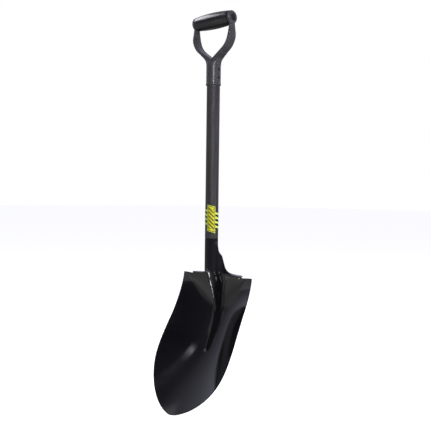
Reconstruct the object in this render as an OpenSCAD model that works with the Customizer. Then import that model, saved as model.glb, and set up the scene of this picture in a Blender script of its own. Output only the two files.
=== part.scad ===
// Round point shovel with a wooden shaft and a moulded D grip.
// Frame: +Z runs up the shaft axis, the hollow face of the blade looks along -Y,
// X runs across the blade. The origin is on the shaft axis in the plane of the foot treads.
// All sizes are in millimetres.

/* [Blade] */
// Depth of the blade below the tread plane, down to the tip
blade_depth = 308; // [290:1:320]
// Width across the top corners of the blade
blade_top_w = 220; // [210:1:230]
// Greatest width of the blade
blade_max_w = 230; // [228:0.5:238]
// Thickness of the pressed sheet
sheet_t = 2; // [1.6:0.1:2.4]
// How far the tip stands forward of the shaft axis
tip_forward = 135; // [120:1:140]
// How far the top edge of the sheet stands behind the shaft axis
top_setback = 19; // [18:0.5:21]
// Backward lean of the sheet at its top edge, in degrees
lean_top = 17; // [12:1:20]
// Forward slope of the sheet at the tip, in degrees
slope_tip = 46; // [42:1:50]
// Strongest cross curl of the sheet, as depth per square millimetre of half width
curl_max = 0.00406; // [0.0034:0.0001:0.0044]
// Cross curl of the sheet at the tip
curl_tip = 0.002; // [0.0016:0.0001:0.0024]

/* [Frog] */
// Length of the stiffening frog below the top edge of the sheet
frog_len = 176; // [165:1:190]
// Height of the frog over the sheet along its middle
frog_h = 14; // [12:0.5:16]
// Extra height of the frog at its top, where it grows into the socket
frog_top_extra = 10; // [8:0.5:11]
// Half width of the frog at its top
frog_top_half_w = 26; // [24:0.5:28]
// Half width of the frog along its middle
frog_half_w = 16; // [14:0.5:18]

/* [Socket and treads] */
// Outside diameter of the socket, flush with the shaft
socket_d = 32; // [31:0.5:33]
// Height of the socket mouth over the tread plane
socket_top = 87.5; // [84:0.5:92]
// Distance from the middle of the blade to the outer end of a tread
tread_reach = 80; // [74:1:86]
// Depth of a tread from front to back
tread_depth = 15; // [14:0.5:20]
// Height of the treads over the cut corners of the sheet
tread_rise = 4.5; // [4:0.25:5]
// Height of the socket rivet over the tread plane
socket_rivet_z = 76; // [74:0.5:78]

/* [Shaft] */
// Diameter of the shaft
shaft_d = 32; // [31:0.5:33]
// Height of the shoulder under the grip ferrule, over the tread plane
ferrule_z = 457.5; // [440:0.5:480]

/* [D grip] */
// Outside diameter of the ferrule
ferrule_d = 35.5; // [35:0.25:37]
// Height of the grip bar over the foot of the ferrule
bar_rise = 156.5; // [150:0.5:162]
// Greatest diameter of the grip barrel
barrel_d = 39.5; // [37:0.5:41]
// Diameter of the grip barrel at its ends
barrel_end_d = 33; // [31:0.5:34]
// Length of the grip barrel between the arms
barrel_len = 105; // [100:1:110]
// Thickness of an arm across the grip
arm_t = 9; // [8:0.5:10]
// Depth of an arm from front to back, below its bend
arm_depth = 26; // [24:0.5:28]
// Depth of an arm just under its eye
arm_waist = 15; // [13:0.5:16]
// Outer radius of the eye at the top of each arm
eye_r = 16.3; // [15.5:0.1:17]
// Diameter of the steel rod through the barrel
rod_d = 8; // [7:0.5:9]

/* [Label] */
// Height of the label panel
label_h = 70; // [55:1:80]
// Arc that the label panel covers round the shaft, in degrees
label_arc = 76; // [50:2:120]
// Height of the striped band that wraps on from the panel at both sides
band_h = 48; // [30:1:54]
// Arc that the striped band covers round the shaft, in degrees
band_arc = 200; // [140:2:260]
// Direction that the label faces, in degrees from the front towards +X
label_turn = 37; // [0:1:60]

/* [Hidden] */
$fn = 96;

fit_gap = 0.05;                              // radial gap between parts that are pressed together
sheet_top = -tread_rise;                     // height of the cut top edge of the sheet
sheet_len = blade_depth - tread_rise;        // height of the sheet from its top edge to the tip
socket_r = socket_d / 2;
spigot_r = socket_r - sheet_t - 0.2;         // lower end of the shaft, clear of the flats in the socket
neck_r = 13.6;                               // upper end of the shaft, inside the ferrule
neck_len = 44;
bar_z = ferrule_z + bar_rise;

// ---- shapes of the pressed sheet ----

full_w_at = 165;  // distance down the sheet where it is widest
curl_at = 135;    // distance down the sheet where it curls most
spine_pull_top = 130;
spine_pull_tip = 150;

function mix(a, b, t) = a + (b - a) * t;
function clamp01(t) = min(1, max(0, t));
function ease(t) = let (c = clamp01(t)) c * c * (3 - 2 * c);
function bezier(p, t) =
    pow(1 - t, 3) * p[0] + 3 * pow(1 - t, 2) * t * p[1] + 3 * (1 - t) * t * t * p[2] + pow(t, 3) * p[3];

// Middle line of the sheet in side view: [forward offset, distance down]
spine_frame = [
    [-top_setback, 0],
    [-top_setback - spine_pull_top * sin(lean_top), spine_pull_top * cos(lean_top)],
    [tip_forward - spine_pull_tip * sin(slope_tip), sheet_len - spine_pull_tip * cos(slope_tip)],
    [tip_forward, sheet_len]
];

// Half width of the outline at a distance s down the sheet
widen_from = 75;    // distance down the sheet where it starts to widen
nose_round = 2.38;  // powers that shape the nose
nose_point = 0.63;
corner_rise = 2.5;  // how far the top corners of the sheet stand over the middle of its top edge
function nose(s) = clamp01((s - full_w_at) / (sheet_len - full_w_at));
function half_w(s) = s < full_w_at
    ? mix(blade_top_w, blade_max_w, ease((s - widen_from) / (full_w_at - widen_from))) / 2
    : blade_max_w / 2 * pow(1 - pow(nose(s), nose_round), nose_point);

// Cross curl at a distance s down the sheet
function curl(s) = s < curl_at
    ? curl_max * pow(sin(90 * s / curl_at), 1.15)
    : mix(curl_tip, curl_max, pow(cos(90 * (s - curl_at) / (sheet_len - curl_at)), 2));

// Height and half width of the frog at a distance s down the sheet
frog_top_run = 90;    // stretch over which the extra height dies out
frog_neck_run = 45;   // stretch over which the frog narrows from its top
frog_taper_at = 70;   // distance where it starts to narrow towards its foot
frog_taper = 6.5;
frog_share = 0.4;     // greatest part of the half width that the frog may take
function frog_height(s) = s >= frog_len ? 0
    : frog_h * sqrt(1 - pow(s / frog_len, 4))
      + frog_top_extra * pow(cos(90 * clamp01(s / frog_top_run)), 2);
function frog_width(s) =
    min(mix(frog_top_half_w, frog_half_w, ease(s / frog_neck_run))
            - frog_taper * ease((s - frog_taper_at) / (frog_len - frog_taper_at)),
        half_w(s) * frog_share);

// The socket section: round in front, its two legs open backwards below the seam
seam_half_gap = 0.8;
crease_z = 16;    // height where the front of the socket starts to step back into the frog
crease_depth = 9.5;
wing_reach = 30;  // how far the open legs of the socket reach out beside the treads
wing_root = 5.4;  // the legs flare out along a hyperbola that starts inside the socket
wing_flare = 269;
wing_foot = 2.9;
open_foot = 36;   // the legs are fully open below this height and closed over it by open_run
open_run = 30;
function crest_setback(z) = crease_depth * pow(clamp01((crease_z - z) / (crease_z - sheet_top)), 1.3);
function opening(z) = 1 - ease((z - open_foot) / open_run);
function wing_x(z) = min(wing_reach, socket_r - wing_root + wing_flare / (max(z, 0) + wing_foot));
function wing_y(z) = mix(socket_r, top_setback + 3, opening(z));
function above_fold(z) = ease((z - sheet_top) / tread_rise);
function foot_x(z) = mix(frog_top_half_w, wing_x(z), above_fold(z));
function foot_y(z) = mix(top_setback, wing_y(z), above_fold(z));

// Point of the outer half section at height z; q runs from the crest (0) to the free edge (1)
function socket_point(q, z) = let (
        r = socket_r,
        back = crest_setback(z),
        a = q * 2 * 90,
        round_end = 180 - asin(seam_half_gap / r),
        b = mix(90, round_end, (q - 0.5) * 2),
        round_xy = [r * sin(b), -r * cos(b)],
        v = (q - 0.5) * 2,
        leg_xy = bezier([[r, back], [r, mix(back, foot_y(z), 0.7)],
                         [mix(r, foot_x(z), 0.35), foot_y(z)], [foot_x(z), foot_y(z)]], v)
    )
    q <= 0.5 ? [r * sin(a), back - r * cos(a), z]
             : concat(mix(round_xy, leg_xy, opening(z)), [z]);

// Point of the front of the sheet; q is 0 to 1 across the frog, r is 0 to 1 from frog to edge
function sheet_y(x, s, f) = -(f + curl(s) * x * x);
function frog_point(q, s, f) = let (
        x = frog_width(s) * q,
        bump = [x, sheet_y(x, s, f) - frog_height(s) * (0.5 + 0.5 * cos(180 * q)), sheet_top - s],
        neck = socket_point(q, sheet_top) + [0, sheet_y(x, s, f) - top_setback, -s]
    )
    mix(neck, bump, ease(s / 40));
function corner_lift(x, s) = corner_rise * ease((x - 60) / 50) * (1 - ease(s / 60));
function panel_point(r, s, f) = let (x = mix(frog_width(s), half_w(s), r))
    [x, sheet_y(x, s, f), sheet_top - s + corner_lift(x, s)];

// ---- the grid that carries the sheet ----

frog_cols = 12;    // columns from the crest to the foot of the frog
panel_cols = 11;   // columns from the foot of the frog to the edge of the sheet
socket_rows = 16;
spine_rows = 40;
half_cols = frog_cols + panel_cols;
rows = socket_rows + spine_rows;
last_spine_t = 0.9995;

// Rows 0 to socket_rows run down the socket, the rest down the sheet with finer steps at the tip
function socket_z(i) = mix(socket_top, sheet_top, pow(i / socket_rows, 0.9));
function spine_t(i) = sin(90 * pow((i - socket_rows) / spine_rows, 1.2)) * last_spine_t;
function row_spine(i) = bezier(spine_frame, spine_t(i));

function outer_half(i, j) = i < socket_rows
    ? socket_point(min(j, frog_cols) / frog_cols, socket_z(i))
    : let (p = row_spine(i))
      j <= frog_cols ? frog_point(j / frog_cols, p[1], p[0])
                     : panel_point((j - frog_cols) / panel_cols, p[1], p[0]);
function mirrored(p) = [-p[0], p[1], p[2]];
function outer(i, j) = j < 0 ? mirrored(outer_half(i, -j)) : outer_half(i, j);

function used(i, j) = i >= 0 && i <= rows && abs(j) <= half_cols && (i >= socket_rows || abs(j) <= frog_cols);
function step(i, j, di, dj) =
    (used(i + di, j + dj) ? outer(i + di, j + dj) : outer(i, j))
    - (used(i - di, j - dj) ? outer(i - di, j - dj) : outer(i, j));
function unit(v) = v / norm(v);
function inward(i, j) = unit(cross(step(i, j, 0, 1), step(i, j, 1, 0)));

module pressed_sheet() {
    cols = 2 * half_cols + 1;
    count = (rows + 1) * cols;
    front = [for (i = [0:rows], j = [-half_cols:half_cols]) used(i, j) ? outer(i, j) : [0, 0, 0]];
    back = [for (i = [0:rows], j = [-half_cols:half_cols])
        used(i, j) ? outer(i, j) + sheet_t * inward(i, j) : [0, 0, 0]];
    function at(i, j) = i * cols + j + half_cols;
    function cell(i, j) = used(i, j) && used(i + 1, j) && used(i, j + 1) && used(i + 1, j + 1);
    function quad(a, b, c, d) = [[a, b, c], [a, c, d]];
    faces = [for (i = [0:rows - 1], j = [-half_cols:half_cols - 1]) if (cell(i, j))
        let (a = at(i, j), b = at(i, j + 1), c = at(i + 1, j + 1), d = at(i + 1, j))
        each concat(
            quad(a, b, c, d),
            quad(count + d, count + c, count + b, count + a),
            cell(i - 1, j) ? [] : quad(count + a, count + b, b, a),
            cell(i + 1, j) ? [] : quad(count + c, count + d, d, c),
            cell(i, j - 1) ? [] : quad(count + d, count + a, a, d),
            cell(i, j + 1) ? [] : quad(count + b, count + c, c, b))];
    polyhedron(concat(front, back), faces, convexity = 8);
}

// ---- the two foot treads, folded back from the top of the sheet ----

module tread(side) {
    fold_y = top_setback;
    corner_r = 12.5;
    inner_x = wing_reach + 0.2;
    filler_w = 5;  // low filler that closes the corner under the leg of the socket
    translate([side > 0 ? inner_x - filler_w + 1 : -inner_x - 1, fold_y, -tread_rise - 1])
        cube([filler_w, sheet_t + 1, tread_rise - 0.2]);
    translate([0, 0, -tread_rise - 1])
        linear_extrude(tread_rise + 1)
            translate([side > 0 ? inner_x : -tread_reach, fold_y])
                square([tread_reach - inner_x, sheet_t + 1]);
    translate([0, 0, -sheet_t])
        linear_extrude(sheet_t)
            difference() {
                translate([side > 0 ? inner_x : -tread_reach, fold_y])
                    square([tread_reach - inner_x, tread_depth]);
                translate([side * tread_reach, fold_y + tread_depth])
                    difference() {
                        square(2 * corner_r, center = true);
                        translate([-side * corner_r, -corner_r])
                            circle(corner_r);
                    }
            }
}

module cross_hole(z, r) {
    translate([0, 0, z])
        rotate([0, 90, 0])
            cylinder(r = r, h = 4 * socket_d, center = true);
}

// ---- rivets ----

// One rivet along X: a shank and two low domed heads seated on a tube of radius seat_r
module rivet(z, shank_r, head_r, head_h, seat_r) {
    sunk = 1.2;  // how far the head's skirt starts inside the tube before it is trimmed to it
    dome_r = (head_r * head_r + head_h * head_h) / (2 * head_h);
    translate([0, 0, z])
        rotate([0, 90, 0])
            cylinder(r = shank_r, h = 2 * seat_r + head_h, center = true);
    difference() {
        translate([0, 0, z])
            for (turn = [0, 180])
                rotate([0, 90 + turn, 0])
                    union() {
                        translate([0, 0, seat_r - sunk])
                            cylinder(r = head_r, h = sunk);
                        translate([0, 0, seat_r - sunk])
                            rotate_extrude()
                                intersection() {
                                    translate([0, sunk + head_h - dome_r])
                                        circle(dome_r, $fn = 200);
                                    translate([0, sunk])
                                        square([head_r, head_h]);
                                }
                    }
        translate([0, 0, z - 2 * head_r])
            cylinder(r = seat_r + 0.02, h = 4 * head_r);
    }
}

// ---- sub-parts ----

socket_rivet_r = 3;
yoke_rivet_r = 2.5;
yoke_rivet_z = [ferrule_z + 18, ferrule_z + 38];

module blade() {
    color([0.09, 0.09, 0.10])
        difference() {
            union() {
                pressed_sheet();
                tread(1);
                tread(-1);
            }
            cross_hole(socket_rivet_z, socket_rivet_r + fit_gap);
        }
}

module socket_rivet() {
    color([0.12, 0.12, 0.13])
        rivet(socket_rivet_z, socket_rivet_r, 5.5, 2, socket_r);
}

module shaft() {
    shoulder = 1;
    spigot_foot = crease_z + 2;
    color([0.16, 0.14, 0.14])
        difference() {
            rotate_extrude()
                polygon([
                    [0, spigot_foot],
                    [spigot_r - 3, spigot_foot],
                    [spigot_r, spigot_foot + 8],
                    [spigot_r, socket_top + fit_gap],
                    [shaft_d / 2 - shoulder, socket_top + fit_gap],
                    [shaft_d / 2, socket_top + fit_gap + shoulder],
                    [shaft_d / 2, ferrule_z - fit_gap],
                    [neck_r, ferrule_z - fit_gap],
                    [neck_r, ferrule_z + neck_len - 2],
                    [neck_r - 2, ferrule_z + neck_len],
                    [0, ferrule_z + neck_len]
                ]);
            cross_hole(socket_rivet_z, socket_rivet_r + fit_gap);
            for (z = yoke_rivet_z)
                cross_hole(z, yoke_rivet_r + fit_gap);
        }
}

// A stretch of film round the shaft: its start and arc in degrees, its foot and height
module wrap(start, arc, foot, height, inner_r, thickness) {
    rotate([0, 0, start])
        rotate_extrude(angle = arc)
            translate([inner_r, foot])
                square([thickness, height]);
}

// The film is a tall panel between two lower wings, all cut from one sheet
module label() {
    label_t = 0.3;
    label_foot = socket_top + 13;
    wing_arc = (band_arc - label_arc) / 2;
    cut_h = (label_h - band_h) / 2;
    color([0.86, 0.88, 0.05])
        rotate([0, 0, -90 + label_turn - band_arc / 2])
            difference() {
                wrap(0, band_arc, label_foot, label_h, shaft_d / 2 + 0.01, label_t);
                for (start = [-1, band_arc - wing_arc], foot = [label_foot - 1, label_foot + label_h - cut_h])
                    wrap(start, wing_arc + 1, foot, cut_h + 1, shaft_d / 2 - 1, label_t + 2);
            }
}

arm_x = (barrel_len + arm_t) / 2;         // middle of an arm, beside the barrel
bend_r = 48;                              // radius of the bend in each arm, to its middle
bend_angle = 54.5;
bend_z = bar_z - 34;                      // height where the bend starts
gusset_run = 16;                          // straight run of an arm that stands clear of the gusset
ferrule_len = 54;

arm_swell = 38;                           // run of the arm over which it deepens
leg_top = bar_z - eye_r + 6;              // height where the arm starts, inside the eye
leg_len = leg_top - bend_z;
bend_len = bend_r * bend_angle * PI / 180;
slope_len = 40;                           // straight run of an arm down to the crotch
arm_steps = 30;
section_steps = 32;

// Middle of the +X arm at a distance d along it from the eye: [x, z, degrees turned inwards]
function arm_at(d) = let (
        turned = min(max(d - leg_len, 0) / bend_len, 1) * bend_angle,
        on_slope = max(d - leg_len - bend_len, 0)
    )
    [arm_x - bend_r * (1 - cos(turned)) - on_slope * sin(turned),
     leg_top - min(d, leg_len) - bend_r * sin(turned) - on_slope * cos(turned),
     turned];

// Point on the rounded oblong section of the arm, across (u) and from front to back (v)
function bulge(a) = sign(a) * pow(abs(a), 0.55);
function arm_point(d, turn) = let (
        c = arm_at(d),
        depth = mix(arm_waist, arm_depth, ease(d / arm_swell)),
        u = (arm_t - 0.4) / 2 * bulge(cos(turn)),
        v = depth / 2 * bulge(sin(turn))
    )
    [c[0] + u * cos(c[2]), v, c[1] - u * sin(c[2])];

// One arm on the +X side, swept from inside the eye to the crotch
module arm() {
    arm_len = leg_len + bend_len + slope_len;
    points = [for (i = [0:arm_steps], k = [0:section_steps - 1])
        arm_point(arm_len * i / arm_steps, 360 * k / section_steps)];
    function at(i, k) = i * section_steps + k % section_steps;
    sides = [for (i = [0:arm_steps - 1], k = [0:section_steps - 1])
        each [[at(i, k), at(i, k + 1), at(i + 1, k + 1)], [at(i, k), at(i + 1, k + 1), at(i + 1, k)]]];
    caps = [
        [for (k = [section_steps - 1:-1:0]) at(0, k)],
        [for (k = [0:section_steps - 1]) at(arm_steps, k)]
    ];
    polyhedron(points, concat(sides, caps), convexity = 4);
}

// Web that carries the +X arm down into the ferrule, ending in a plate inside the arm
module gusset() {
    joint = arm_at(leg_len + bend_len + gusset_run);
    hull() {
        translate([0, 0, ferrule_z + ferrule_len - 6])
            cylinder(d = ferrule_d - 1, h = 4, $fn = 32);
        translate([joint[0], 0, joint[1]])
            rotate([0, bend_angle, 0])
                cube([arm_t / 2, arm_depth - 2, 1], center = true);
    }
}

// Eye at the top of the +X arm: a disc with a rounded outer rim
module eye() {
    rim = 4;
    translate([barrel_len / 2, 0, bar_z])
        rotate([0, 90, 0])
            rotate_extrude()
                union() {
                    square([eye_r, arm_t - rim]);
                    square([eye_r - rim, arm_t]);
                    translate([eye_r - rim, arm_t - rim])
                        circle(rim);
                }
}

module yoke() {
    color([0.13, 0.13, 0.13])
        difference() {
            union() {
                translate([0, 0, ferrule_z])
                    cylinder(d = ferrule_d, h = ferrule_len);
                translate([0, 0, ferrule_z])
                    cylinder(d = ferrule_d + 1.2, h = 4);
                for (side = [0, 1])
                    mirror([side, 0, 0]) {
                        gusset();
                        arm();
                        eye();
                    }
            }
            translate([0, 0, ferrule_z - 1])
                cylinder(r = neck_r + fit_gap, h = neck_len + 2);
            for (z = yoke_rivet_z)
                cross_hole(z, yoke_rivet_r + fit_gap);
            cross_hole(bar_z, rod_d / 2 + fit_gap);
        }
}

module yoke_rivets() {
    color([0.30, 0.30, 0.31])
        for (z = yoke_rivet_z)
            rivet(z, yoke_rivet_r, 4.2, 1.5, ferrule_d / 2);
}

module grip_barrel() {
    swell = (barrel_d - barrel_end_d) / 2;
    half_len = barrel_len / 2 - fit_gap;
    arc_r = (half_len * half_len + swell * swell) / (2 * swell);
    color([0.06, 0.06, 0.07])
        translate([0, 0, bar_z])
            rotate([0, 90, 0])
                rotate_extrude()
                    difference() {
                        intersection() {
                            translate([barrel_d / 2 - arc_r, 0])
                                circle(arc_r, $fn = 720);
                            translate([0, -half_len])
                                square([barrel_d, 2 * half_len]);
                        }
                        translate([0, -barrel_len])
                            square([rod_d / 2 + fit_gap, 2 * barrel_len]);
                    }
}

washer_t = 1.2;
eye_face_x = barrel_len / 2 + arm_t;

module grip_rod() {
    head_r = 6;
    head_h = 2;
    dome_r = (head_r * head_r + head_h * head_h) / (2 * head_h);
    color([0.30, 0.30, 0.31])
        translate([0, 0, bar_z]) {
            rotate([0, 90, 0])
                cylinder(d = rod_d, h = 2 * (eye_face_x + washer_t), center = true);
            for (turn = [90, -90])
                rotate([0, turn, 0])
                    translate([0, 0, eye_face_x + washer_t])
                        rotate_extrude()
                            intersection() {
                                translate([0, head_h - dome_r])
                                    circle(dome_r, $fn = 200);
                                square([head_r, head_h]);
                            }
        }
}

module rod_washers() {
    color([0.22, 0.22, 0.23])
        for (turn = [90, -90])
            translate([0, 0, bar_z])
                rotate([0, turn, 0])
                    translate([0, 0, eye_face_x])
                        difference() {
                            cylinder(r = 8.5, h = washer_t);
                            translate([0, 0, -1])
                                cylinder(r = rod_d / 2 + fit_gap, h = washer_t + 2);
                        }
}

blade();
socket_rivet();
shaft();
label();
yoke();
yoke_rivets();
grip_barrel();
grip_rod();
rod_washers();
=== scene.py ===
import math

import bpy
import numpy as np
from mathutils import Matrix, Vector


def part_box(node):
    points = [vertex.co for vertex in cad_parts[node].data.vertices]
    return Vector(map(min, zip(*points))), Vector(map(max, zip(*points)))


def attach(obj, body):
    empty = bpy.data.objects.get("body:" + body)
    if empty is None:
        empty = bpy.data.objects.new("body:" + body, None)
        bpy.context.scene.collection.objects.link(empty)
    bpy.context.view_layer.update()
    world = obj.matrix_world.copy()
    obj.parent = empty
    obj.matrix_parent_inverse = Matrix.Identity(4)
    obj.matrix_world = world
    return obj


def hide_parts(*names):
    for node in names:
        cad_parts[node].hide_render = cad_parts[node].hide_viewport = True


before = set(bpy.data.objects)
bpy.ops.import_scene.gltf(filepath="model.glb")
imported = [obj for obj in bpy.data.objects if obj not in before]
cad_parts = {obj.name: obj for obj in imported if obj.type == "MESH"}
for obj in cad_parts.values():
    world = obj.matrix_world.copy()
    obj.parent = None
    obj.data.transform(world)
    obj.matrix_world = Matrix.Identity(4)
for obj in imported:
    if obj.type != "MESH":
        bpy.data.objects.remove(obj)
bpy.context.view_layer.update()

scene = bpy.context.scene
MM = 1000.0


def mm_box(node):
    lo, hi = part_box(node)
    return np.array(lo) * MM, np.array(hi) * MM


# ---- places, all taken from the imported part, in millimetres ----

blade_lo, blade_hi = mm_box("blade")
shaft_lo, shaft_hi = mm_box("shaft")
label_lo, label_hi = mm_box("label")
yoke_lo, yoke_hi = mm_box("yoke")
barrel_lo, barrel_hi = mm_box("grip_barrel")
_, rod_hi = mm_box("grip_rod")
washer_lo, washer_hi = mm_box("rod_washers")
socket_rivet_lo, socket_rivet_hi = mm_box("socket_rivet")
yoke_rivet_lo, yoke_rivet_hi = mm_box("yoke_rivets")

BLADE_FOOT = blade_lo[2]
SOCKET_TOP = blade_hi[2]
BLADE_HALF = blade_hi[0]
SHAFT_R = shaft_hi[0]
FERRULE_FOOT = yoke_lo[2]
BAR_Z = (barrel_lo[2] + barrel_hi[2]) / 2
BARREL_HALF = barrel_hi[0]
BARREL_R = barrel_hi[1]
EYE_FACE = yoke_hi[0]
EYE_R = yoke_hi[2] - BAR_Z
PRESS_GAP = 0.05        # between parts that are pressed together
NECK_R = 13.6           # upper end of the shaft, inside the ferrule
FERRULE_R = 17.75
ROD_R = 4.0

LABEL_SLANT = 0.26      # rise of the label's edges for each millimetre across it
PANEL_HALF_W = 10.3
PANEL_HALF_H = (label_hi[2] - label_lo[2]) / 2 - LABEL_SLANT * PANEL_HALF_W - 0.2


# ---- small helpers ----

def mix(a, b, t):
    return a + (b - a) * t


def clamp01(t):
    return np.clip(t, 0.0, 1.0)


def ease(t):
    c = clamp01(t)
    return c * c * (3 - 2 * c)


def bezier(p0, p1, p2, p3, t):
    p0, p1, p2, p3 = (np.asarray(p, float) for p in (p0, p1, p2, p3))
    return (1 - t) ** 3 * p0 + 3 * (1 - t) ** 2 * t * p1 + 3 * (1 - t) * t * t * p2 + t ** 3 * p3


def add_mesh(name, points, faces, crease_deg=40):
    """A smooth-shaded mesh object from points in millimetres."""
    mesh = bpy.data.meshes.new(name)
    mesh.from_pydata((np.asarray(points, float) / MM).tolist(), [], [list(f) for f in faces])
    mesh.validate()
    mesh.shade_smooth()
    mesh.set_sharp_from_angle(angle=math.radians(crease_deg))
    obj = bpy.data.objects.new(name, mesh)
    scene.collection.objects.link(obj)
    return obj


def revolve(profile, steps=96, axis="z", closed=False, side=1, z=0.0):
    """Points and faces of a solid turned about Z, or about X at height z.
    profile is (radius, height) pairs. closed means that it rings a bore, and side is 1 or -1 along X."""
    n = len(profile)
    points, index = [], []
    for r, h in profile:
        if r < 1e-6:
            index.append([len(points)] * steps)
            points.append((0.0, 0.0, h))
        else:
            index.append(list(range(len(points), len(points) + steps)))
            for k in range(steps):
                a = 2 * math.pi * k / steps
                points.append((r * math.cos(a), r * math.sin(a), h))
    faces = []
    for i in range(n if closed else n - 1):
        a, b = index[i], index[(i + 1) % n]
        for k in range(steps):
            m = (k + 1) % steps
            quad = [a[k], a[m], b[m], b[k]]
            slim = [v for q, v in enumerate(quad) if v != quad[q - 1]]
            if len(slim) >= 3:
                faces.append(slim)
    pts = np.array(points)
    if axis == "x":
        pts = np.column_stack([side * pts[:, 2], side * pts[:, 1], pts[:, 0]])
    pts[:, 2] += z
    return pts, faces


def rounded(corners, radius, steps=5):
    """Rounds the corners of an open profile of (radius, height) pairs, leaving its two ends."""
    out = [corners[0]]
    for a, b, c in zip(corners, corners[1:], corners[2:]):
        a, b, c = np.array(a, float), np.array(b, float), np.array(c, float)
        u, v = a - b, c - b
        cut = min(radius, 0.45 * np.linalg.norm(u), 0.45 * np.linalg.norm(v))
        p = b + u / np.linalg.norm(u) * cut
        q = b + v / np.linalg.norm(v) * cut
        for k in range(steps + 1):
            t = k / steps
            out.append(tuple((1 - t) ** 2 * p + 2 * t * (1 - t) * b + t * t * q))
    out.append(corners[-1])
    return out


def join(parts):
    """One point list and face list from several (points, faces) pairs."""
    points, faces, base = [], [], 0
    for p, f in parts:
        points.append(np.asarray(p, float))
        faces += [[v + base for v in face] for face in f]
        base += len(p)
    return np.vstack(points), faces


def ring_tube(rings):
    """A closed skin through rings of equal length, capped with a fan at both ends."""
    rings = [np.asarray(r, float) for r in rings]
    n = len(rings[0])
    points = np.vstack(rings)
    faces = []
    for i in range(len(rings) - 1):
        for k in range(n):
            m = (k + 1) % n
            faces.append([i * n + k, i * n + m, (i + 1) * n + m, (i + 1) * n + k])
    for i, flip in ((0, True), (len(rings) - 1, False)):
        centre = len(points)
        points = np.vstack([points, rings[i].mean(0)])
        for k in range(n):
            m = (k + 1) % n
            tri = [i * n + k, i * n + m, centre]
            faces.append(tri[::-1] if flip else tri)
    return points, faces


# ---- materials ----

class Nodes:
    """Short ways to add nodes to a tree and join them."""

    def __init__(self, tree):
        self.tree = tree

    def node(self, kind, inputs=None, **settings):
        n = self.tree.nodes.new(kind)
        for key, value in settings.items():
            setattr(n, key, value)
        for key, value in (inputs or {}).items():
            if isinstance(value, bpy.types.NodeSocket):
                self.tree.links.new(value, n.inputs[key])
            else:
                n.inputs[key].default_value = value
        return n

    def span(self, value, a, b, c, d):
        """Maps the range a to b onto c to d."""
        return self.node("ShaderNodeMapRange", {"Value": value, "From Min": a, "From Max": b,
                                                "To Min": c, "To Max": d}).outputs[0]

    def math(self, op, a, b=0.0):
        return self.node("ShaderNodeMath", {0: a, 1: b}, operation=op).outputs[0]


class Shader(Nodes):
    """A principled material in object coordinates, in metres."""

    def __init__(self, name):
        self.mat = bpy.data.materials.new(name)
        self.mat.use_nodes = True
        super().__init__(self.mat.node_tree)
        self.bsdf = self.tree.nodes["Principled BSDF"]
        coord = self.node("ShaderNodeTexCoord")
        self.place = coord.outputs["Object"]
        self.uv = coord.outputs["UV"]

    def scaled(self, scale):
        return self.node("ShaderNodeMapping", {"Vector": self.place, "Scale": scale}).outputs[0]

    def noise(self, scale, stretch=(1, 1, 1), detail=3.0, roughness=0.5):
        return self.node("ShaderNodeTexNoise", {"Vector": self.scaled(stretch), "Scale": scale,
                                                "Detail": detail, "Roughness": roughness}).outputs["Fac"]

    def ramp(self, fac, stops):
        n = self.node("ShaderNodeValToRGB", {"Fac": fac})
        e = n.color_ramp.elements
        while len(e) < len(stops):
            e.new(0.5)
        for item, (pos, colour) in zip(e, stops):
            item.position = pos
            item.color = (*colour, 1.0)
        return n.outputs["Color"]

    def blend(self, fac, a, b, mode="MIX"):
        n = self.node("ShaderNodeMix", {"Factor": fac}, data_type="RGBA", blend_type=mode)
        for key, value in ((6, a), (7, b)):
            if isinstance(value, bpy.types.NodeSocket):
                self.tree.links.new(value, n.inputs[key])
            else:
                n.inputs[key].default_value = (*value, 1.0)
        return n.outputs[2]

    def bump(self, height, strength, distance, under=None):
        inputs = {"Height": height, "Strength": strength, "Distance": distance}
        if under is not None:
            inputs["Normal"] = under
        return self.node("ShaderNodeBump", inputs).outputs[0]

    def set(self, **values):
        for key, value in values.items():
            socket = self.bsdf.inputs[key.replace("_", " ")]
            if isinstance(value, bpy.types.NodeSocket):
                self.tree.links.new(value, socket)
            elif isinstance(value, tuple):
                socket.default_value = (*value, 1.0)
            else:
                socket.default_value = value
        return self.mat

    def height_mm(self):
        parts = self.node("ShaderNodeSeparateXYZ", {0: self.place})
        return self.math("MULTIPLY", parts.outputs["Z"], MM)


def blade_paint():
    """Gloss black below the treads, which turns satin above them over a wavy line."""
    s = Shader("blade_paint")
    wavy_height = s.math("ADD", s.height_mm(), s.math("MULTIPLY", s.noise(90), 1.5))
    satin = s.span(wavy_height, 6.5, 9.5, 0, 1)
    cloud = s.noise(14, detail=5)
    speck = s.noise(2600, detail=2)
    black = s.ramp(cloud, [(0.3, (0.0034, 0.0035, 0.0046)), (0.7, (0.0064, 0.0065, 0.0080))])
    grey = s.ramp(cloud, [(0.3, (0.0036, 0.0035, 0.0047)), (0.7, (0.0054, 0.0052, 0.0066))])
    gloss = s.span(s.noise(22, detail=4), 0.3, 0.7, 0.09, 0.14)
    rough = s.node("ShaderNodeMix", {"Factor": satin, 2: gloss, 3: 0.52}).outputs[0]
    peel = s.bump(s.noise(420, detail=1), 0.10, 0.0002)
    fine = s.bump(speck, s.math("MULTIPLY", satin, 0.25), 0.0002, peel)
    return s.set(Base_Color=s.blend(satin, black, grey), Roughness=rough, Normal=fine,
                 Specular_IOR_Level=s.span(satin, 0, 1, 0.5, 0.28))


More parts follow.
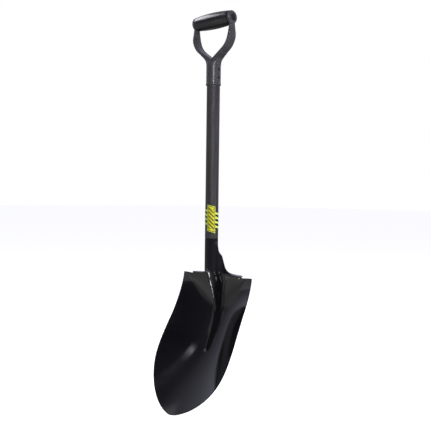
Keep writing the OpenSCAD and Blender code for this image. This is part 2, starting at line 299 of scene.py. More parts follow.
def shaft_wood():
    """Black stained wood with fine lengthwise grain."""
    s = Shader("shaft_wood")
    long_grain = s.noise(1.0, (420, 420, 9), detail=6, roughness=0.62)
    pores = s.noise(1.0, (1500, 1500, 26), detail=3)
    tint = s.noise(1.0, (95, 95, 3.2), detail=3)
    base = s.ramp(long_grain, [(0.28, (0.0135, 0.0124, 0.0138)), (0.52, (0.0265, 0.0248, 0.0280)),
                               (0.78, (0.0480, 0.0455, 0.0500))])
    warm = s.ramp(tint, [(0.35, (1.02, 0.90, 1.12)), (0.5, (1.0, 1.0, 1.0)),
                         (0.68, (1.06, 1.02, 0.88))])
    colour = s.blend(0.85, base, warm, "MULTIPLY")
    rough = s.span(pores, 0.3, 0.7, 0.42, 0.60)
    normal = s.bump(pores, 0.35, 0.0003, s.bump(long_grain, 0.35, 0.0005))
    return s.set(Base_Color=colour, Roughness=rough, Normal=normal, Specular_IOR_Level=0.45)


def label_film():
    """Printed film: a yellow panel with a dark inner line and slanted bars, between striped wings."""
    s = Shader("label_film")
    uv = s.node("ShaderNodeSeparateXYZ", {0: s.uv})
    u, v = uv.outputs["X"], uv.outputs["Y"]
    far_u, far_v = s.math("ABSOLUTE", u), s.math("ABSOLUTE", v)

    def inside(half_u, half_v):
        return s.math("MULTIPLY", s.math("LESS_THAN", far_u, half_u), s.math("LESS_THAN", far_v, half_v))

    def stripes(slope, pitch, share, shift):
        run = s.math("ADD", s.math("ADD", v, shift), s.math("MULTIPLY", u, slope))
        return s.math("LESS_THAN", s.math("FRACT", s.math("DIVIDE", run, pitch)), share)

    black = (0.010, 0.012, 0.008)
    pale = s.ramp(s.noise(60, detail=3), [(0.3, (0.50, 0.56, 0.075)), (0.7, (0.60, 0.66, 0.10))])
    deep = s.ramp(s.noise(85, detail=3), [(0.3, (0.45, 0.43, 0.012)), (0.7, (0.56, 0.52, 0.018))])
    dull = s.blend(0.35, pale, (0.30, 0.36, 0.14))
    wing = s.blend(stripes(0.0, 10.65, 0.46, 7.3), black, dull)
    bars = s.math("MULTIPLY", stripes(0.75, 9.4, 0.46, 1.0), inside(6.0, 25.0))
    panel = s.blend(bars, deep, (0.030, 0.028, 0.008))
    end_margin = 0.122
    for inset, line in ((3.3, (0.030, 0.036, 0.005)), (1.8, pale), (0.5, black)):
        panel = s.blend(inside(PANEL_HALF_W - inset, PANEL_HALF_H - end_margin - inset), line, panel)
    colour = s.blend(s.math("LESS_THAN", far_u, PANEL_HALF_W + 0.01), wing, panel)
    rough = s.span(s.noise(120), 0.3, 0.7, 0.34, 0.46)
    return s.set(Base_Color=colour, Roughness=rough, Normal=s.bump(s.noise(300), 0.06, 0.0003))


def yoke_plastic():
    s = Shader("yoke_plastic")
    cloud = s.noise(45, detail=4)
    grain = s.noise(1500, detail=2)
    colour = s.ramp(cloud, [(0.3, (0.0330, 0.0325, 0.0370)), (0.7, (0.0450, 0.0445, 0.0500))])
    rough = s.span(s.noise(70, detail=3), 0.3, 0.7, 0.24, 0.33)
    return s.set(Base_Color=colour, Roughness=rough, Normal=s.bump(grain, 0.05, 0.0002))


def barrel_plastic():
    s = Shader("barrel_plastic")
    cloud = s.noise(30, detail=3)
    colour = s.ramp(cloud, [(0.3, (0.0068, 0.0068, 0.0086)), (0.7, (0.0108, 0.0108, 0.0130))])
    rough = s.span(s.noise(55, detail=4), 0.3, 0.7, 0.20, 0.30)
    return s.set(Base_Color=colour, Roughness=rough, Normal=s.bump(s.noise(500), 0.02, 0.0002))


def coated_steel(name, colour, metallic, rough_lo, rough_hi):
    s = Shader(name)
    worn = s.noise(600, detail=4)
    dark, light = (tuple(share * c for c in colour) for share in (0.75, 1.35))
    base = s.ramp(worn, [(0.35, dark), (0.72, light)])
    rough = s.span(s.noise(900, detail=3), 0.3, 0.7, rough_lo, rough_hi)
    return s.set(Base_Color=base, Metallic=metallic, Roughness=rough, Normal=s.bump(worn, 0.2, 0.0002))


MATERIALS = {
    "blade_paint": blade_paint(),
    "shaft_wood": shaft_wood(),
    "label_film": label_film(),
    "yoke_plastic": yoke_plastic(),
    "barrel_plastic": barrel_plastic(),
    "rivet_steel": coated_steel("rivet_steel", (0.020, 0.020, 0.022), 0.2, 0.30, 0.45),
    "rod_steel": coated_steel("rod_steel", (0.060, 0.060, 0.065), 0.8, 0.28, 0.42),
}


def place(obj, node, slot):
    """Gives a piece its material and puts it in for its CAD node."""
    obj.data.materials.clear()
    obj.data.materials.append(MATERIALS[slot])
    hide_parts(node)
    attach(obj, "root")


# ---- blade: socket, frog, dished sheet and folded treads in one skin ----

THICK = 2.0
TIP_Z = BLADE_FOOT + 1.28           # tip of the front skin; the sheet behind it reaches a little lower
HALF_WIDTH = BLADE_HALF - 1.23      # greatest half width of the front skin; the sheet behind it is wider
SHEET_TOP = -4.5                    # height of the fold between the sheet and the treads
SHEET_LEN = SHEET_TOP - TIP_Z
TOP_HALF = 110.0                    # half width at the top corners
TOP_SETBACK = 19.0                  # how far the top edge stands behind the shaft axis
TIP_FORWARD = 135.0                 # how far the tip stands in front of it
LEAN_TOP = math.radians(17)         # backward lean of the sheet at its top edge
SLOPE_TIP = math.radians(46)        # forward slope of the sheet at its tip
SPINE_PULL_TOP, SPINE_PULL_TIP = 130, 150
WIDEN_FROM, FULL_AT = 75.0, 165.0   # stretch down the sheet over which it widens
NOSE_ROUND, NOSE_POINT = 2.38, 0.63
CORNER_RISE = 2.5                   # how far the top corners stand over the middle of the top edge
CURL_AT = 135.0                     # distance down the sheet where it curls most
CURL_MAX, CURL_TIP = 0.00406, 0.0020

FROG_LEN = 176.0
FROG_H, FROG_TOP_EXTRA = 14, 10
FROG_TOP_RUN = 90                   # stretch over which the extra height dies out
FROG_TOP_HALF, FROG_HALF = 26.0, 16
FROG_NECK_RUN = 45                  # stretch over which the frog narrows from its top
FROG_TAPER_AT, FROG_TAPER = 70, 6.5
FROG_SHARE = 0.4                    # greatest part of the half width that the frog may take
NECK_RUN = 40                       # stretch over which the socket's section turns into the frog's

FOLD_BEND = 4.7                     # length of each leg of the fold's bend
FOLD_LEAN = math.radians(17.0)
TREAD_REACH, TREAD_REAR, TREAD_CORNER = 79.0, 34.0, 15.0

LEG_TOP_Z = 41.0                    # from here down the rear edge of the socket turns outwards
LEG_X, LEG_Z, LEG_LEAN = 25.0, 20.3, 0.2757
LEG_REAR = 22.1
LEG_TOP_X = LEG_X - (LEG_TOP_Z - LEG_Z) * LEG_LEAN
CREASE_FRONT, CREASE_SIDE = 17.0, 10.0
CREASE_DEPTH = 9.5
SEAM_HALF_GAP = 0.8
OPEN_FOOT, OPEN_RUN = 62, 14        # the legs are open below this height and closed over it by this run

UPPER_ROWS, LOWER_ROWS, SHEET_ROWS = 18, 32, 120
FROG_COLS, PANEL_COLS, TREAD_COLS = 28, 42, 27
LAST_SPINE_T = 0.9995


def spine(t):
    """Middle line of the sheet in side view: forward offset and distance down."""
    top = np.array([-TOP_SETBACK, 0.0])
    tip = np.array([TIP_FORWARD, SHEET_LEN])
    return bezier(top, top + SPINE_PULL_TOP * np.array([-math.sin(LEAN_TOP), math.cos(LEAN_TOP)]),
                  tip - SPINE_PULL_TIP * np.array([math.sin(SLOPE_TIP), math.cos(SLOPE_TIP)]), tip, t)


def half_width(s):
    if s < FULL_AT:
        return mix(TOP_HALF, HALF_WIDTH, ease((s - WIDEN_FROM) / (FULL_AT - WIDEN_FROM)))
    u = clamp01((s - FULL_AT) / (SHEET_LEN - FULL_AT))
    return HALF_WIDTH * (1 - u ** NOSE_ROUND) ** NOSE_POINT


def curl(s):
    """Cross curl of the sheet at a distance s down it."""
    if s < CURL_AT:
        return CURL_MAX * math.sin(math.pi / 2 * s / CURL_AT) ** 1.15
    return mix(CURL_TIP, CURL_MAX, math.cos(math.pi / 2 * (s - CURL_AT) / (SHEET_LEN - CURL_AT)) ** 2)


def frog_height(s):
    if s >= FROG_LEN:
        return 0.0
    extra = FROG_TOP_EXTRA * math.cos(math.pi / 2 * clamp01(s / FROG_TOP_RUN)) ** 2
    return FROG_H * math.sqrt(1 - (s / FROG_LEN) ** 4) + extra


def frog_half(s):
    neck = mix(FROG_TOP_HALF, FROG_HALF, ease(s / FROG_NECK_RUN))
    taper = FROG_TAPER * ease((s - FROG_TAPER_AT) / (FROG_LEN - FROG_TAPER_AT))
    return min(neck - taper, FROG_SHARE * half_width(s))


def sheet_y(x, s, f):
    return -(f + curl(s) * x * x)


def corner_lift(x, s):
    return CORNER_RISE * ease((x - 60) / 50) * (1 - ease(s / 60))


def free_edge(x):
    """Point of the rear edge, which runs down the open leg of the socket and out along the tread."""
    if x < LEG_X:
        z = LEG_Z + (LEG_X - x) / LEG_LEAN
        return np.array([x, LEG_REAR - 0.108 * (z - LEG_Z), z])
    z = 19.5 * math.exp((LEG_X - x) / 8.6) + 0.9
    past_corner = min(max(0.0, x - (TREAD_REACH - TREAD_CORNER)), TREAD_CORNER - 0.1)
    rounding = TREAD_CORNER - math.sqrt(TREAD_CORNER ** 2 - past_corner ** 2)
    return np.array([x, mix(LEG_REAR, TREAD_REAR, ease((x - LEG_X) / 30)) - rounding, z])


def tread_point(c, e):
    """Point of the folded tread: c runs from the socket to its outer end, e from the fold to its edge.
    The fold is a bend from a to b round the corner k."""
    end = free_edge(mix(LEG_TOP_X, TREAD_REACH, c ** 1.5))
    a = np.array([mix(FROG_TOP_HALF, TREAD_REACH, c), TOP_SETBACK, SHEET_TOP])
    k = a + FOLD_BEND * np.array([0, -math.sin(FOLD_LEAN), math.cos(FOLD_LEAN)])
    away = end - k
    reach = np.linalg.norm(away)
    cut = min(FOLD_BEND, 0.5 * reach)
    b = k + away / reach * cut
    bend_len = 0.5 * (np.linalg.norm(b - a) + FOLD_BEND + cut)
    share = bend_len / (bend_len + reach - cut)
    if e < share:
        t = e / share
        return (1 - t) ** 2 * a + 2 * t * (1 - t) * k + t * t * b
    return mix(b, end, (e - share) / (1 - share))


def socket_point(q, z, end=None):
    """Section of the socket at height z: q runs from the front crest (0) to the free edge (1), at end."""
    r = SHAFT_R
    crease = mix(CREASE_FRONT, CREASE_SIDE, math.sin(math.pi * min(q, 0.5)))
    back = CREASE_DEPTH * clamp01((crease - z) / (crease - SHEET_TOP)) ** 1.1
    if q <= 0.5:
        a = math.pi * q
        return np.array([r * math.sin(a), back - r * math.cos(a), z])
    v = (q - 0.5) * 2
    closed = math.pi - math.asin(SEAM_HALF_GAP / r)
    b = mix(math.pi / 2, closed, v)
    ring = np.array([r * math.sin(b), -r * math.cos(b)])
    if end is None:
        end = free_edge(LEG_TOP_X)
        end[2] = z
    foot, z_end = end[:2], end[2]
    turn = math.radians(45 * ease((z - SHEET_TOP) / 12) + 38 * ease((z - 8) / 34))
    leg = bezier((r, back), (r, mix(back, foot[1], 0.62)),
                 foot - 8.5 * np.array([math.cos(turn), math.sin(turn)]), foot, v)
    closing = max(z - LEG_TOP_Z, 0) / 13.5
    opening = (1 - ease((z - OPEN_FOOT) / OPEN_RUN)) / (1 + closing * closing)
    xy = mix(ring, leg, opening)
    return np.array([xy[0], xy[1], mix(z, z_end, v)])


def frog_point(q, s, f):
    half = frog_half(s)
    x = half * q
    y = sheet_y(x, s, f)
    bump = np.array([x, y - frog_height(s) * (0.5 + 0.5 * math.cos(math.pi * q)), SHEET_TOP - s])
    neck = socket_point(q, SHEET_TOP, np.array([FROG_TOP_HALF, TOP_SETBACK, SHEET_TOP]))
    neck = neck + np.array([0, y - TOP_SETBACK, -s])
    return mix(neck, bump, ease(s / NECK_RUN))


def blade_grid():
    """Right half of the outer skin: rows from the socket's mouth to the tip, columns from the middle."""
    fold_row = UPPER_ROWS + LOWER_ROWS
    rows, cols = fold_row + SHEET_ROWS + 1, FROG_COLS + PANEL_COLS + 1
    grid = np.full((rows, cols, 3), np.nan)
    for i in range(UPPER_ROWS):
        z = mix(SOCKET_TOP, LEG_TOP_Z, i / UPPER_ROWS)
        for j in range(FROG_COLS + 1):
            grid[i, j] = socket_point(j / FROG_COLS, z)
    for k in range(1, LOWER_ROWS + 1):
        i = fold_row - k
        even = k / LOWER_ROWS
        e = even ** 1.25
        edge = tread_point(0, e)
        for j in range(FROG_COLS + 1):
            grid[i, j] = socket_point(j / FROG_COLS, edge[2], edge)
        for c in range(1, TREAD_COLS + 1):
            grid[i, FROG_COLS + c] = tread_point(c / TREAD_COLS, mix(e, even, ease(4 * c / TREAD_COLS)))
    for k in range(SHEET_ROWS + 1):
        f, s = spine(math.sin(math.pi / 2 * (k / SHEET_ROWS) ** 1.2) * LAST_SPINE_T)
        half, foot = half_width(s), frog_half(s)
        for j in range(FROG_COLS + 1):
            grid[fold_row + k, j] = frog_point(j / FROG_COLS, s, f)
        for c in range(1, PANEL_COLS + 1):
            x = mix(foot, half, c / PANEL_COLS)
            grid[fold_row + k, FROG_COLS + c] = (x, sheet_y(x, s, f), SHEET_TOP - s + corner_lift(x, s))
    return grid


def skin_to_solid(grid, thick):
    """Mirrors the half grid, gives it thickness along its own normals and closes its rims."""
    left = grid[:, :0:-1].copy()
    left[..., 0] *= -1
    full = np.concatenate([left, grid], axis=1)
    used = ~np.isnan(full[..., 0])
    rows, cols = used.shape

    def step(axis):
        ahead = np.roll(full, -1, axis)
        behind = np.roll(full, 1, axis)
        ahead_ok = np.roll(used, -1, axis)
        behind_ok = np.roll(used, 1, axis)
        edge = [slice(None), slice(None)]
        edge[axis] = -1
        ahead_ok[tuple(edge)] = False
        edge[axis] = 0
        behind_ok[tuple(edge)] = False
        return np.where(ahead_ok[..., None], ahead, full) - np.where(behind_ok[..., None], behind, full)

    normal = np.cross(step(1), step(0))  # points into the sheet
    length = np.linalg.norm(normal, axis=2, keepdims=True)
    inner = full + thick * normal / np.where(length > 1e-9, length, 1)
    number = -np.ones((rows, cols), int)
    number[used] = np.arange(used.sum())
    count = int(used.sum())
    points = np.vstack([full[used], inner[used]])
    cell = used[:-1, :-1] & used[1:, :-1] & used[:-1, 1:] & used[1:, 1:]
    faces = []
    for i, j in zip(*np.nonzero(cell)):
        a, b, c, d = number[i, j], number[i, j + 1], number[i + 1, j + 1], number[i + 1, j]
        faces.append([d, c, b, a])
        faces.append([a + count, b + count, c + count, d + count])
        if i == 0 or not cell[i - 1, j]:
            faces.append([a, b, b + count, a + count])
        if i == rows - 2 or not cell[i + 1, j]:
            faces.append([c, d, d + count, c + count])
        if j == 0 or not cell[i, j - 1]:
            faces.append([d, a, a + count, d + count])
        if j == cols - 2 or not cell[i, j + 1]:
            faces.append([b, c, c + count, b + count])
    return points, faces


blade = add_mesh("blade_pressing", *skin_to_solid(blade_grid(), THICK), crease_deg=38)
edge_round = blade.modifiers.new("edge_round", "BEVEL")
edge_round.width = 0.0005
edge_round.segments = 2
edge_round.limit_method = "ANGLE"
edge_round.angle_limit = math.radians(60)
place(blade, "blade", "blade_paint")


# ---- shaft and its label ----

def shaft_profile():
    """A spigot in the socket, a chamfered shoulder, a slightly waisted pole and a neck in the ferrule."""
    foot, top = shaft_lo[2], shaft_hi[2]
    spigot_r, chamfer, waist, steps = 13.8, 1.0, 0.12, 24
    shoulder = SOCKET_TOP + PRESS_GAP
    pole_top = FERRULE_FOOT - PRESS_GAP
    spigot = [(0, foot), (spigot_r - 3, foot), (spigot_r, foot + 8), (spigot_r, shoulder)]
    pole = [(SHAFT_R - chamfer, shoulder)]
    for k in range(steps + 1):
        z = mix(shoulder + chamfer, pole_top, k / steps)
        pole.append((SHAFT_R - waist * math.sin(math.pi * k / steps) ** 2, z))
    neck = [(NECK_R, pole_top), (NECK_R, top - 2), (NECK_R - 2, top), (0, top)]
    return spigot + pole + neck


shaft = add_mesh("shaft_pole", *revolve(shaft_profile(), steps=128), crease_deg=30)
place(shaft, "shaft", "shaft_wood")


LABEL_FACES = math.radians(37)  # from the front towards +X
LABEL_THICK = 0.31
LABEL_WING_HALF_H = 19.5
LABEL_WING_END = 26.5           # distance round the shaft from the label's middle


def label_patch():
    """One slanted film on the shaft: a tall panel with a lower striped wing on each side of it.
    Its across and along distances, in millimetres, go with it for the print."""
    mid = (label_hi[2] + label_lo[2]) / 2
    corner, along = 3.0, 72
    xs = np.concatenate([np.linspace(-LABEL_WING_END, -PANEL_HALF_W, 19),
                         np.linspace(-PANEL_HALF_W, PANEL_HALF_W, 33)[1:],
                         np.linspace(PANEL_HALF_W, LABEL_WING_END, 19)[1:]])
    across = len(xs) - 1
    front, uv = [], []
    for x in xs:
        over = max(0.0, abs(x) - (PANEL_HALF_W - corner))
        rounding = corner - math.sqrt(max(corner ** 2 - over ** 2, 0.0))
        half = LABEL_WING_HALF_H if abs(x) > PANEL_HALF_W + 1e-6 else PANEL_HALF_H - rounding
        for i in range(along + 1):
            w = mix(-half, half, i / along)
            front.append((LABEL_FACES - math.pi / 2 + x / SHAFT_R, mid + w - LABEL_SLANT * x))
            uv.append((x, w))
    n = len(front)
    points = [((SHAFT_R + g) * math.cos(a), (SHAFT_R + g) * math.sin(a), z)
              for g in (LABEL_THICK, 0.0) for a, z in front]
    w = along + 1
    faces = []
    for j in range(across):
        for i in range(along):
            a, b, c, d = j * w + i, (j + 1) * w + i, (j + 1) * w + i + 1, j * w + i + 1
            faces.append([a, b, c, d])
            faces.append([d + n, c + n, b + n, a + n])
    ring = ([j * w for j in range(across)] + [across * w + i for i in range(along)]
            + [j * w + along for j in range(across, 0, -1)] + [i for i in range(along, 0, -1)])
    for a, b in zip(ring, ring[1:] + ring[:1]):
        faces.append([b, a, a + n, b + n])
    return points, faces, uv + uv


label_points, label_faces, label_uv = label_patch()
label = add_mesh("label_sticker", label_points, label_faces)
layer = label.data.uv_layers.new(name="print")
for loop in label.data.loops:
    layer.data[loop.index].uv = label_uv[loop.vertex_index]
place(label, "label", "label_film")


# ---- D grip ----

ARM_X = (BARREL_HALF + EYE_FACE) / 2
ARM_TOP = BAR_Z - EYE_R + 6         # inside the eye
ARM_HALF_T = 4.45
ARM_WAIST, ARM_DEPTH = 15.0, 26.0   # depth of an arm under its eye, and past its swell
ARM_SWELL = 38
BEND_Z = BAR_Z - 34.0
BEND_R = 48.0
BEND_TURN = math.radians(54.5)
SLOPE_LEN = 45                      # straight run of an arm from its bend down into the crotch
CHANNEL_DEPTH = 2.0                 # of the trough down the inner face of an arm
RIM_W, RIM_SLOPE = 2.2, 1.0


def oblong(half_u, half_v, power=0.5, steps=32):
    """Outline between an oval (power 1) and a rectangle (power 0)."""
    out = []
    for k in range(steps):
        a = 2 * math.pi * k / steps
        c, s = math.cos(a), math.sin(a)
        out.append((half_u * math.copysign(abs(c) ** power, c), half_v * math.copysign(abs(s) ** power, s)))
    return out


def swept(path, side):
    """Skin along a path of (x, z, tangent x, tangent z, half thickness, half depth, channel).
    The channel is how deep a trough runs down the inner face, between two rims."""
    rings = []
    for x, z, tx, tz, half_t, half_d, channel in path:
        ring = []
        for u, v in oblong(half_t, half_d, steps=64):
            if u < 0:
                u += channel * ease((half_d - RIM_W - abs(v)) / RIM_SLOPE)
            ring.append((side * (x + u * tz), v, z - u * tx))
        rings.append(ring)
    points, faces = ring_tube(rings)
    return (points, faces) if side > 0 else (points, [f[::-1] for f in faces])


def arm_path():
    """Stations down an arm: straight from the eye, round the bend and down the slope to the crotch."""
    steps = 60
    straight_len = ARM_TOP - BEND_Z
    bend_len = BEND_R * BEND_TURN
    total = straight_len + bend_len + SLOPE_LEN
    out = []
    for i in range(steps + 1):
        d = total * i / steps
        past_bend = d - straight_len - bend_len
        slope = max(past_bend, 0)
        turned = clamp01((d - straight_len) / bend_len) * BEND_TURN
        x = ARM_X - BEND_R * (1 - math.cos(turned)) - slope * math.sin(turned)
        z = ARM_TOP - min(d, straight_len) - BEND_R * math.sin(turned) - slope * math.cos(turned)
        depth = mix(ARM_WAIST, ARM_DEPTH, ease(d / ARM_SWELL))
        channel = CHANNEL_DEPTH * ease((d - 8) / 8) * (1 - ease(past_bend / 14))
        out.append((x, z, math.sin(turned), math.cos(turned), ARM_HALF_T, depth / 2, channel))
    return out


def gusset_path():
    """Stations along the swell under an arm, which flows out of the ferrule."""
    steps, reach = 24, 0.01
    pull = [(8.5, 44), (8.5, 58), (14.0, 66), (31.0, 78)]
    pull = [(x, FERRULE_FOOT + z) for x, z in pull]
    out = []
    for i in range(steps + 1):
        t = i / steps
        x, z = bezier(*pull, t)
        tx, tz = bezier(*pull, min(t + reach, 1)) - bezier(*pull, max(t - reach, 0))
        n = math.hypot(tx, tz)
        out.append((x, z, tx / n, tz / n, mix(5.0, 4.4, t), mix(13.5, 12.8, t), 0.0))
    return out


def web():
    """The filled crotch between the arms, round at the ferrule and oblong at its top."""
    foot, top, steps = FERRULE_FOOT + 45.5, FERRULE_FOOT + 63, 12
    rings = []
    for i in range(steps + 1):
        t = i / steps
        half_w = mix(17.7, 23.5, t ** 1.5)
        half_d = mix(17.7, 13.6, ease(t))
        outline = oblong(half_w, half_d, mix(1.0, 0.8, t), 48)
        rings.append([(u, v, mix(foot, top, t)) for u, v in outline])
    return ring_tube(rings)


def ferrule():
    """A sleeve with a lip at its foot and a blind bore for the neck of the shaft."""
    foot, bore_r, bore_top = FERRULE_FOOT, NECK_R + 0.08, FERRULE_FOOT + 47
    lip_r, lip_h = FERRULE_R + 0.7, 4.2
    outer = rounded([(bore_r, foot), (lip_r, foot), (lip_r, foot + lip_h), (FERRULE_R, foot + lip_h + 1),
                     (FERRULE_R, foot + 54), (FERRULE_R - 4, foot + 58), (0, foot + 58)], 0.9)
    return revolve(outer + [(0, bore_top), (bore_r, bore_top)], steps=96, closed=True)


def eye(side):
    inner, bore_r, outer_r, rim = BARREL_HALF + PRESS_GAP, ROD_R + 0.1, EYE_R - 0.1, 4.2
    outer = rounded([(bore_r, inner), (outer_r, inner), (outer_r, EYE_FACE - rim + 1.0),
                     (outer_r - rim + 0.7, EYE_FACE), (bore_r, EYE_FACE)], 2.6, 6)
    return revolve(outer, steps=80, axis="x", closed=True, side=side, z=BAR_Z)


def yoke_skin():
    parts = [ferrule(), web()]
    for side in (1, -1):
        parts += [swept(arm_path(), side), swept(gusset_path(), side), eye(side)]
    return join(parts)


def fused(name, parts, voxel, smooth_steps):
    """Melts overlapping closed skins into one moulded skin, on a grid of voxel millimetres."""
    rough = add_mesh(name + "_rough", *parts)
    skin = rough.modifiers.new("skin", "REMESH")
    skin.mode = "VOXEL"
    skin.voxel_size = voxel / MM
    soft = rough.modifiers.new("soft", "SMOOTH")
    soft.factor = 0.5
    soft.iterations = smooth_steps
    graph = bpy.context.evaluated_depsgraph_get()
    mesh = bpy.data.meshes.new_from_object(rough.evaluated_get(graph))
    bpy.data.objects.remove(rough)
    mesh.name = name
    mesh.shade_smooth()
    obj = bpy.data.objects.new(name, mesh)
    scene.collection.objects.link(obj)
    return obj


yoke = fused("grip_yoke", yoke_skin(), 0.65, 4)
place(yoke, "yoke", "yoke_plastic")


def barrel_profile():
    """A barrel that swells on an arc to its middle, with rounded ends and a bore for the rod."""
    half, end_r, bore_r, round_len, steps = BARREL_HALF, 16.5, ROD_R + PRESS_GAP, 1.2, 40
    swell = BARREL_R - end_r
    arc_r = (half * half + swell * swell) / (2 * swell)
    end = [(bore_r, half), (end_r - 1.0, half), (end_r - 0.35, half - 0.25), (end_r - 0.05, half - 0.75)]
    arc = []
    for k in range(steps + 1):
        h = mix(half - round_len, round_len - half, k / steps)
        arc.append((BARREL_R - arc_r + math.sqrt(arc_r ** 2 - h * h), h))
    return end + arc + [(r, -h) for r, h in reversed(end)]


barrel_skin = revolve(barrel_profile(), steps=128, axis="x", closed=True, z=BAR_Z)
barrel = add_mesh("grip_barrel_roll", *barrel_skin, crease_deg=50)
place(barrel, "grip_barrel", "barrel_plastic")


# ---- rod, washers and rivets ----

def headed_pin(shank_r, head_r, head_h, seat, steps=10):
    """Profile of a pin with a low domed head at both ends, each of which starts at seat from its middle."""
    rim = 0.28 * head_h
    half = [(shank_r, seat), (head_r, seat)]
    for k in range(steps + 1):
        a = math.pi / 2 * k / steps
        half.append((head_r * math.cos(a), seat + rim + (head_h - rim) * math.sin(a)))
    return [(r, -h) for r, h in reversed(half)] + half


rod_seat = washer_hi[0]
rod_skin = revolve(headed_pin(ROD_R, 6.0, rod_hi[0] - rod_seat, rod_seat), steps=64, axis="x", z=BAR_Z)
rod = add_mesh("grip_rod_pin", *rod_skin, crease_deg=45)
place(rod, "grip_rod", "rod_steel")


def washer(side):
    bore_r, outer_r, seat = ROD_R + PRESS_GAP, (washer_hi[1] - washer_lo[1]) / 2, EYE_FACE - PRESS_GAP
    ring = rounded([(bore_r, seat), (outer_r, seat), (outer_r, rod_seat), (bore_r, rod_seat)], 0.35, 3)
    return revolve(ring, steps=64, axis="x", closed=True, side=side, z=BAR_Z)


washers = add_mesh("rod_washer_pair", *join([washer(1), washer(-1)]), crease_deg=45)
place(washers, "rod_washers", "rod_steel")


def rivet(z, shank_r, head_r, tube_r, tip_x):
    """A rivet along X, whose heads sink into the tube that they sit on until their rims meet it."""
    seat = tube_r - head_r ** 2 / (2 * tube_r) - 0.1
    return revolve(headed_pin(shank_r, head_r, tip_x - seat, seat), steps=48, axis="x", z=z)


socket_rivet_z = (socket_rivet_lo[2] + socket_rivet_hi[2]) / 2
socket_rivet = add_mesh("socket_rivet_pin", *rivet(socket_rivet_z, 3.0, 5.5, SHAFT_R, socket_rivet_hi[0]),
                        crease_deg=45)
place(socket_rivet, "socket_rivet", "rivet_steel")

YOKE_RIVET_HEAD_R = 4.2
yoke_rivet_zs = (yoke_rivet_lo[2] + YOKE_RIVET_HEAD_R, yoke_rivet_hi[2] - YOKE_RIVET_HEAD_R)
yoke_rivet_skins = [rivet(z, 2.5, YOKE_RIVET_HEAD_R, FERRULE_R, yoke_rivet_hi[0]) for z in yoke_rivet_zs]
yoke_rivets = add_mesh("yoke_rivet_pair", *join(yoke_rivet_skins), crease_deg=45)
place(yoke_rivets, "yoke_rivets", "rivet_steel")


# ---- stage: pale floor, soft light, camera ----

CAMERA_AZIMUTH = 42.0
CAMERA_DISTANCE = 1.632
CAMERA_ROLL = math.radians(0.72)
SENSOR_MM, LENS_MM = 36.0, 56.4279
SHIFT_Y = -0.0395349  # as a share of the picture's width


def toward(azimuth, elevation):
    """Unit vector from the tool, with azimuth counted from the front of the blade towards +X."""
    az, el = math.radians(azimuth), math.radians(elevation)
    return Vector((math.sin(az) * math.cos(el), -math.cos(az) * math.cos(el), math.sin(el)))


up = Vector((0, 0, 1))
to_camera = toward(CAMERA_AZIMUTH, 0)
right = up.cross(to_camera)


def floor_pale():
    """Evenly pale to the camera. To all else it only glows, most on the left and along one band."""
    s = Shader("floor_pale")
    seen = s.node("ShaderNodeLightPath").outputs["Is Camera Ray"]
    parts = s.node("ShaderNodeSeparateXYZ", {0: s.place})
    x, y = parts.outputs["X"], parts.outputs["Y"]
    distance = s.node("ShaderNodeVectorMath", {0: s.place}, operation="LENGTH").outputs["Value"]
    left = s.span(s.math("ADD", x, y), -0.35, 0.35, 1.0, 0.04)
    away = s.span(distance, 0.0, 1.6, 0.10, 0.42)
    across = s.math("SUBTRACT", s.math("MULTIPLY", x, 0.83), s.math("MULTIPLY", y, 0.56))
    band = s.span(s.math("ABSOLUTE", across), 0.05, 0.45, 0.50, 0.0)
    unseen_glow = s.math("MULTIPLY", left, s.math("ADD", away, band))
    glow = s.math("ADD", s.math("MULTIPLY", seen, 0.80),
                  s.math("MULTIPLY", s.math("SUBTRACT", 1.0, seen), unseen_glow))
    return s.set(Base_Color=s.blend(seen, (0.0, 0.0, 0.0), (0.80, 0.80, 0.80)), Roughness=0.9,
                 Specular_IOR_Level=0.0, Emission_Color=(1.0, 1.0, 1.0), Emission_Strength=glow)


FLOOR_REACH = 30.0
floor_z = BLADE_FOOT / MM - 0.0005
floor_mesh = bpy.data.meshes.new("floor")
floor_corners = [(-FLOOR_REACH, -FLOOR_REACH, floor_z), (FLOOR_REACH, -FLOOR_REACH, floor_z),
                 (FLOOR_REACH, FLOOR_REACH, floor_z), (-FLOOR_REACH, FLOOR_REACH, floor_z)]
floor_mesh.from_pydata(floor_corners, [], [(0, 1, 2, 3)])
floor_mesh.materials.append(floor_pale())
floor = bpy.data.objects.new("floor", floor_mesh)
scene.collection.objects.link(floor)


def area_light(name, where, target, size_x, size_y, power, kind, only=()):
    """A soft box that feeds the matt part or the gloss of surfaces, either on every piece or only on some."""
    data = bpy.data.lights.new(name, "AREA")
    data.shape = "RECTANGLE"
    data.size, data.size_y = size_x, size_y
    data.energy = power
    data.color = (1.0, 1.0, 1.03)
    obj = bpy.data.objects.new(name, data)
    scene.collection.objects.link(obj)
    obj.location = where
    obj.rotation_mode = "QUATERNION"
    obj.rotation_quaternion = (where - target).to_track_quat("Z", "Y")
    obj.visible_camera = False
    obj.visible_glossy = kind == "gloss"
    obj.visible_diffuse = kind == "matt"
    if only:
        lit = bpy.data.collections.new(name + "_lights")
        for item in only:
            lit.objects.link(item)
        obj.light_linking.receiver_collection = lit


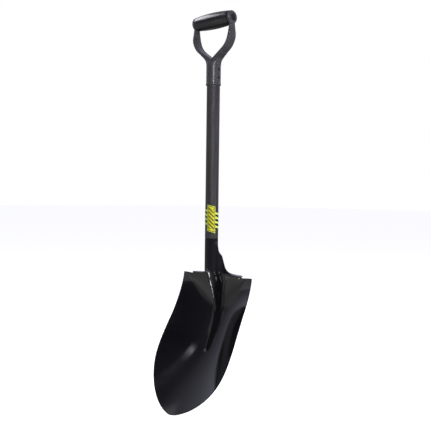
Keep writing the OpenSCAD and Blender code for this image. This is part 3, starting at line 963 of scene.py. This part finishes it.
middle = Vector((0, 0, 0.16))
grip = Vector((0, 0, 0.55))
frog_top = Vector((0, -0.03, -0.035))
dish = Vector((0, -0.05, -0.20))
toe = Vector((0, -0.03, -0.14))
upper = (shaft, label, yoke, barrel, rod, washers, yoke_rivets)
area_light("top_fill", middle + up * 1.6, middle, 1.2, 1.2, 13, "matt")
area_light("front_fill", middle + toward(50, 30) * 2.3, middle, 1.6, 1.6, 36, "matt")
area_light("left_fill", middle + toward(-30, 20) * 2.0, middle, 0.8, 1.6, 15, "matt")
area_light("right_fill", middle + toward(100, -2) * 1.8, middle, 0.8, 1.0, 52, "matt")
area_light("barrel_box", grip + toward(-72, 42) * 1.2, grip, 0.85, 0.40, 7.6, "gloss", [barrel])
area_light("grip_strip", grip + toward(44, 12) * 1.8, grip, 0.18, 0.9, 12.0, "gloss", upper)
area_light("frog_left", frog_top + toward(-53, -37) * 0.33, frog_top, 0.05, 0.06, 0.32, "gloss", [blade])
area_light("dish_glow", dish + toward(-27, 48) * 1.6, dish, 0.30, 0.07, 0.20, "gloss", [blade])
area_light("frog_right", frog_top + toward(92, -20) * 0.45, frog_top, 0.14, 0.22, 0.40, "gloss", [blade])
area_light("toe_spot", toe + toward(-48, 20) * 0.6, toe, 0.24, 0.24, 0.11, "gloss", [blade])


def studio_world():
    """Plain white to the camera. To all else a dark room with a brighter backdrop and a faint left wall."""
    world = bpy.data.worlds.new("studio")
    world.use_nodes = True
    world.node_tree.nodes.clear()
    w = Nodes(world.node_tree)
    direction = w.node("ShaderNodeTexCoord").outputs["Generated"]
    height = w.node("ShaderNodeSeparateXYZ", {0: direction}).outputs["Z"]

    def facing(axis):
        both = w.node("ShaderNodeVectorMath", {0: direction, 1: axis}, operation="DOT_PRODUCT")
        return both.outputs["Value"]

    backdrop = w.span(facing(to_camera), -0.75, -0.05, 0.65, 0.04)
    left_wall = w.span(facing(toward(-75, 20)), 0.48, 0.95, 0.0, 0.12)
    over_horizon = w.span(height, 0.02, 0.22, 0.35, 1.0)
    strength = w.math("ADD", backdrop, w.math("MULTIPLY", left_wall, over_horizon))
    room = w.node("ShaderNodeBackground", {"Color": (0.93, 0.93, 1.14, 1.0), "Strength": strength})
    white = w.node("ShaderNodeBackground", {"Color": (1.0, 1.0, 1.0, 1.0), "Strength": 1.0})
    seen = w.node("ShaderNodeLightPath").outputs["Is Camera Ray"]
    chosen = w.node("ShaderNodeMixShader", {0: seen, 1: room.outputs[0], 2: white.outputs[0]})
    w.node("ShaderNodeOutputWorld", {0: chosen.outputs[0]})
    return world


scene.world = studio_world()
scene.view_settings.view_transform = "Standard"

camera_data = bpy.data.cameras.new("camera")
camera_data.sensor_width = SENSOR_MM
camera_data.lens = LENS_MM
camera_data.shift_y = SHIFT_Y
camera = bpy.data.objects.new("camera", camera_data)
scene.collection.objects.link(camera)
scene.camera = camera
look_at = right * 0.0073 + up * 0.1855
camera.location = look_at + to_camera * CAMERA_DISTANCE
camera.rotation_mode = "QUATERNION"
facing_tool = Matrix((right, up, to_camera)).transposed()
camera.rotation_quaternion = (facing_tool @ Matrix.Rotation(CAMERA_ROLL, 3, "Z")).to_quaternion()
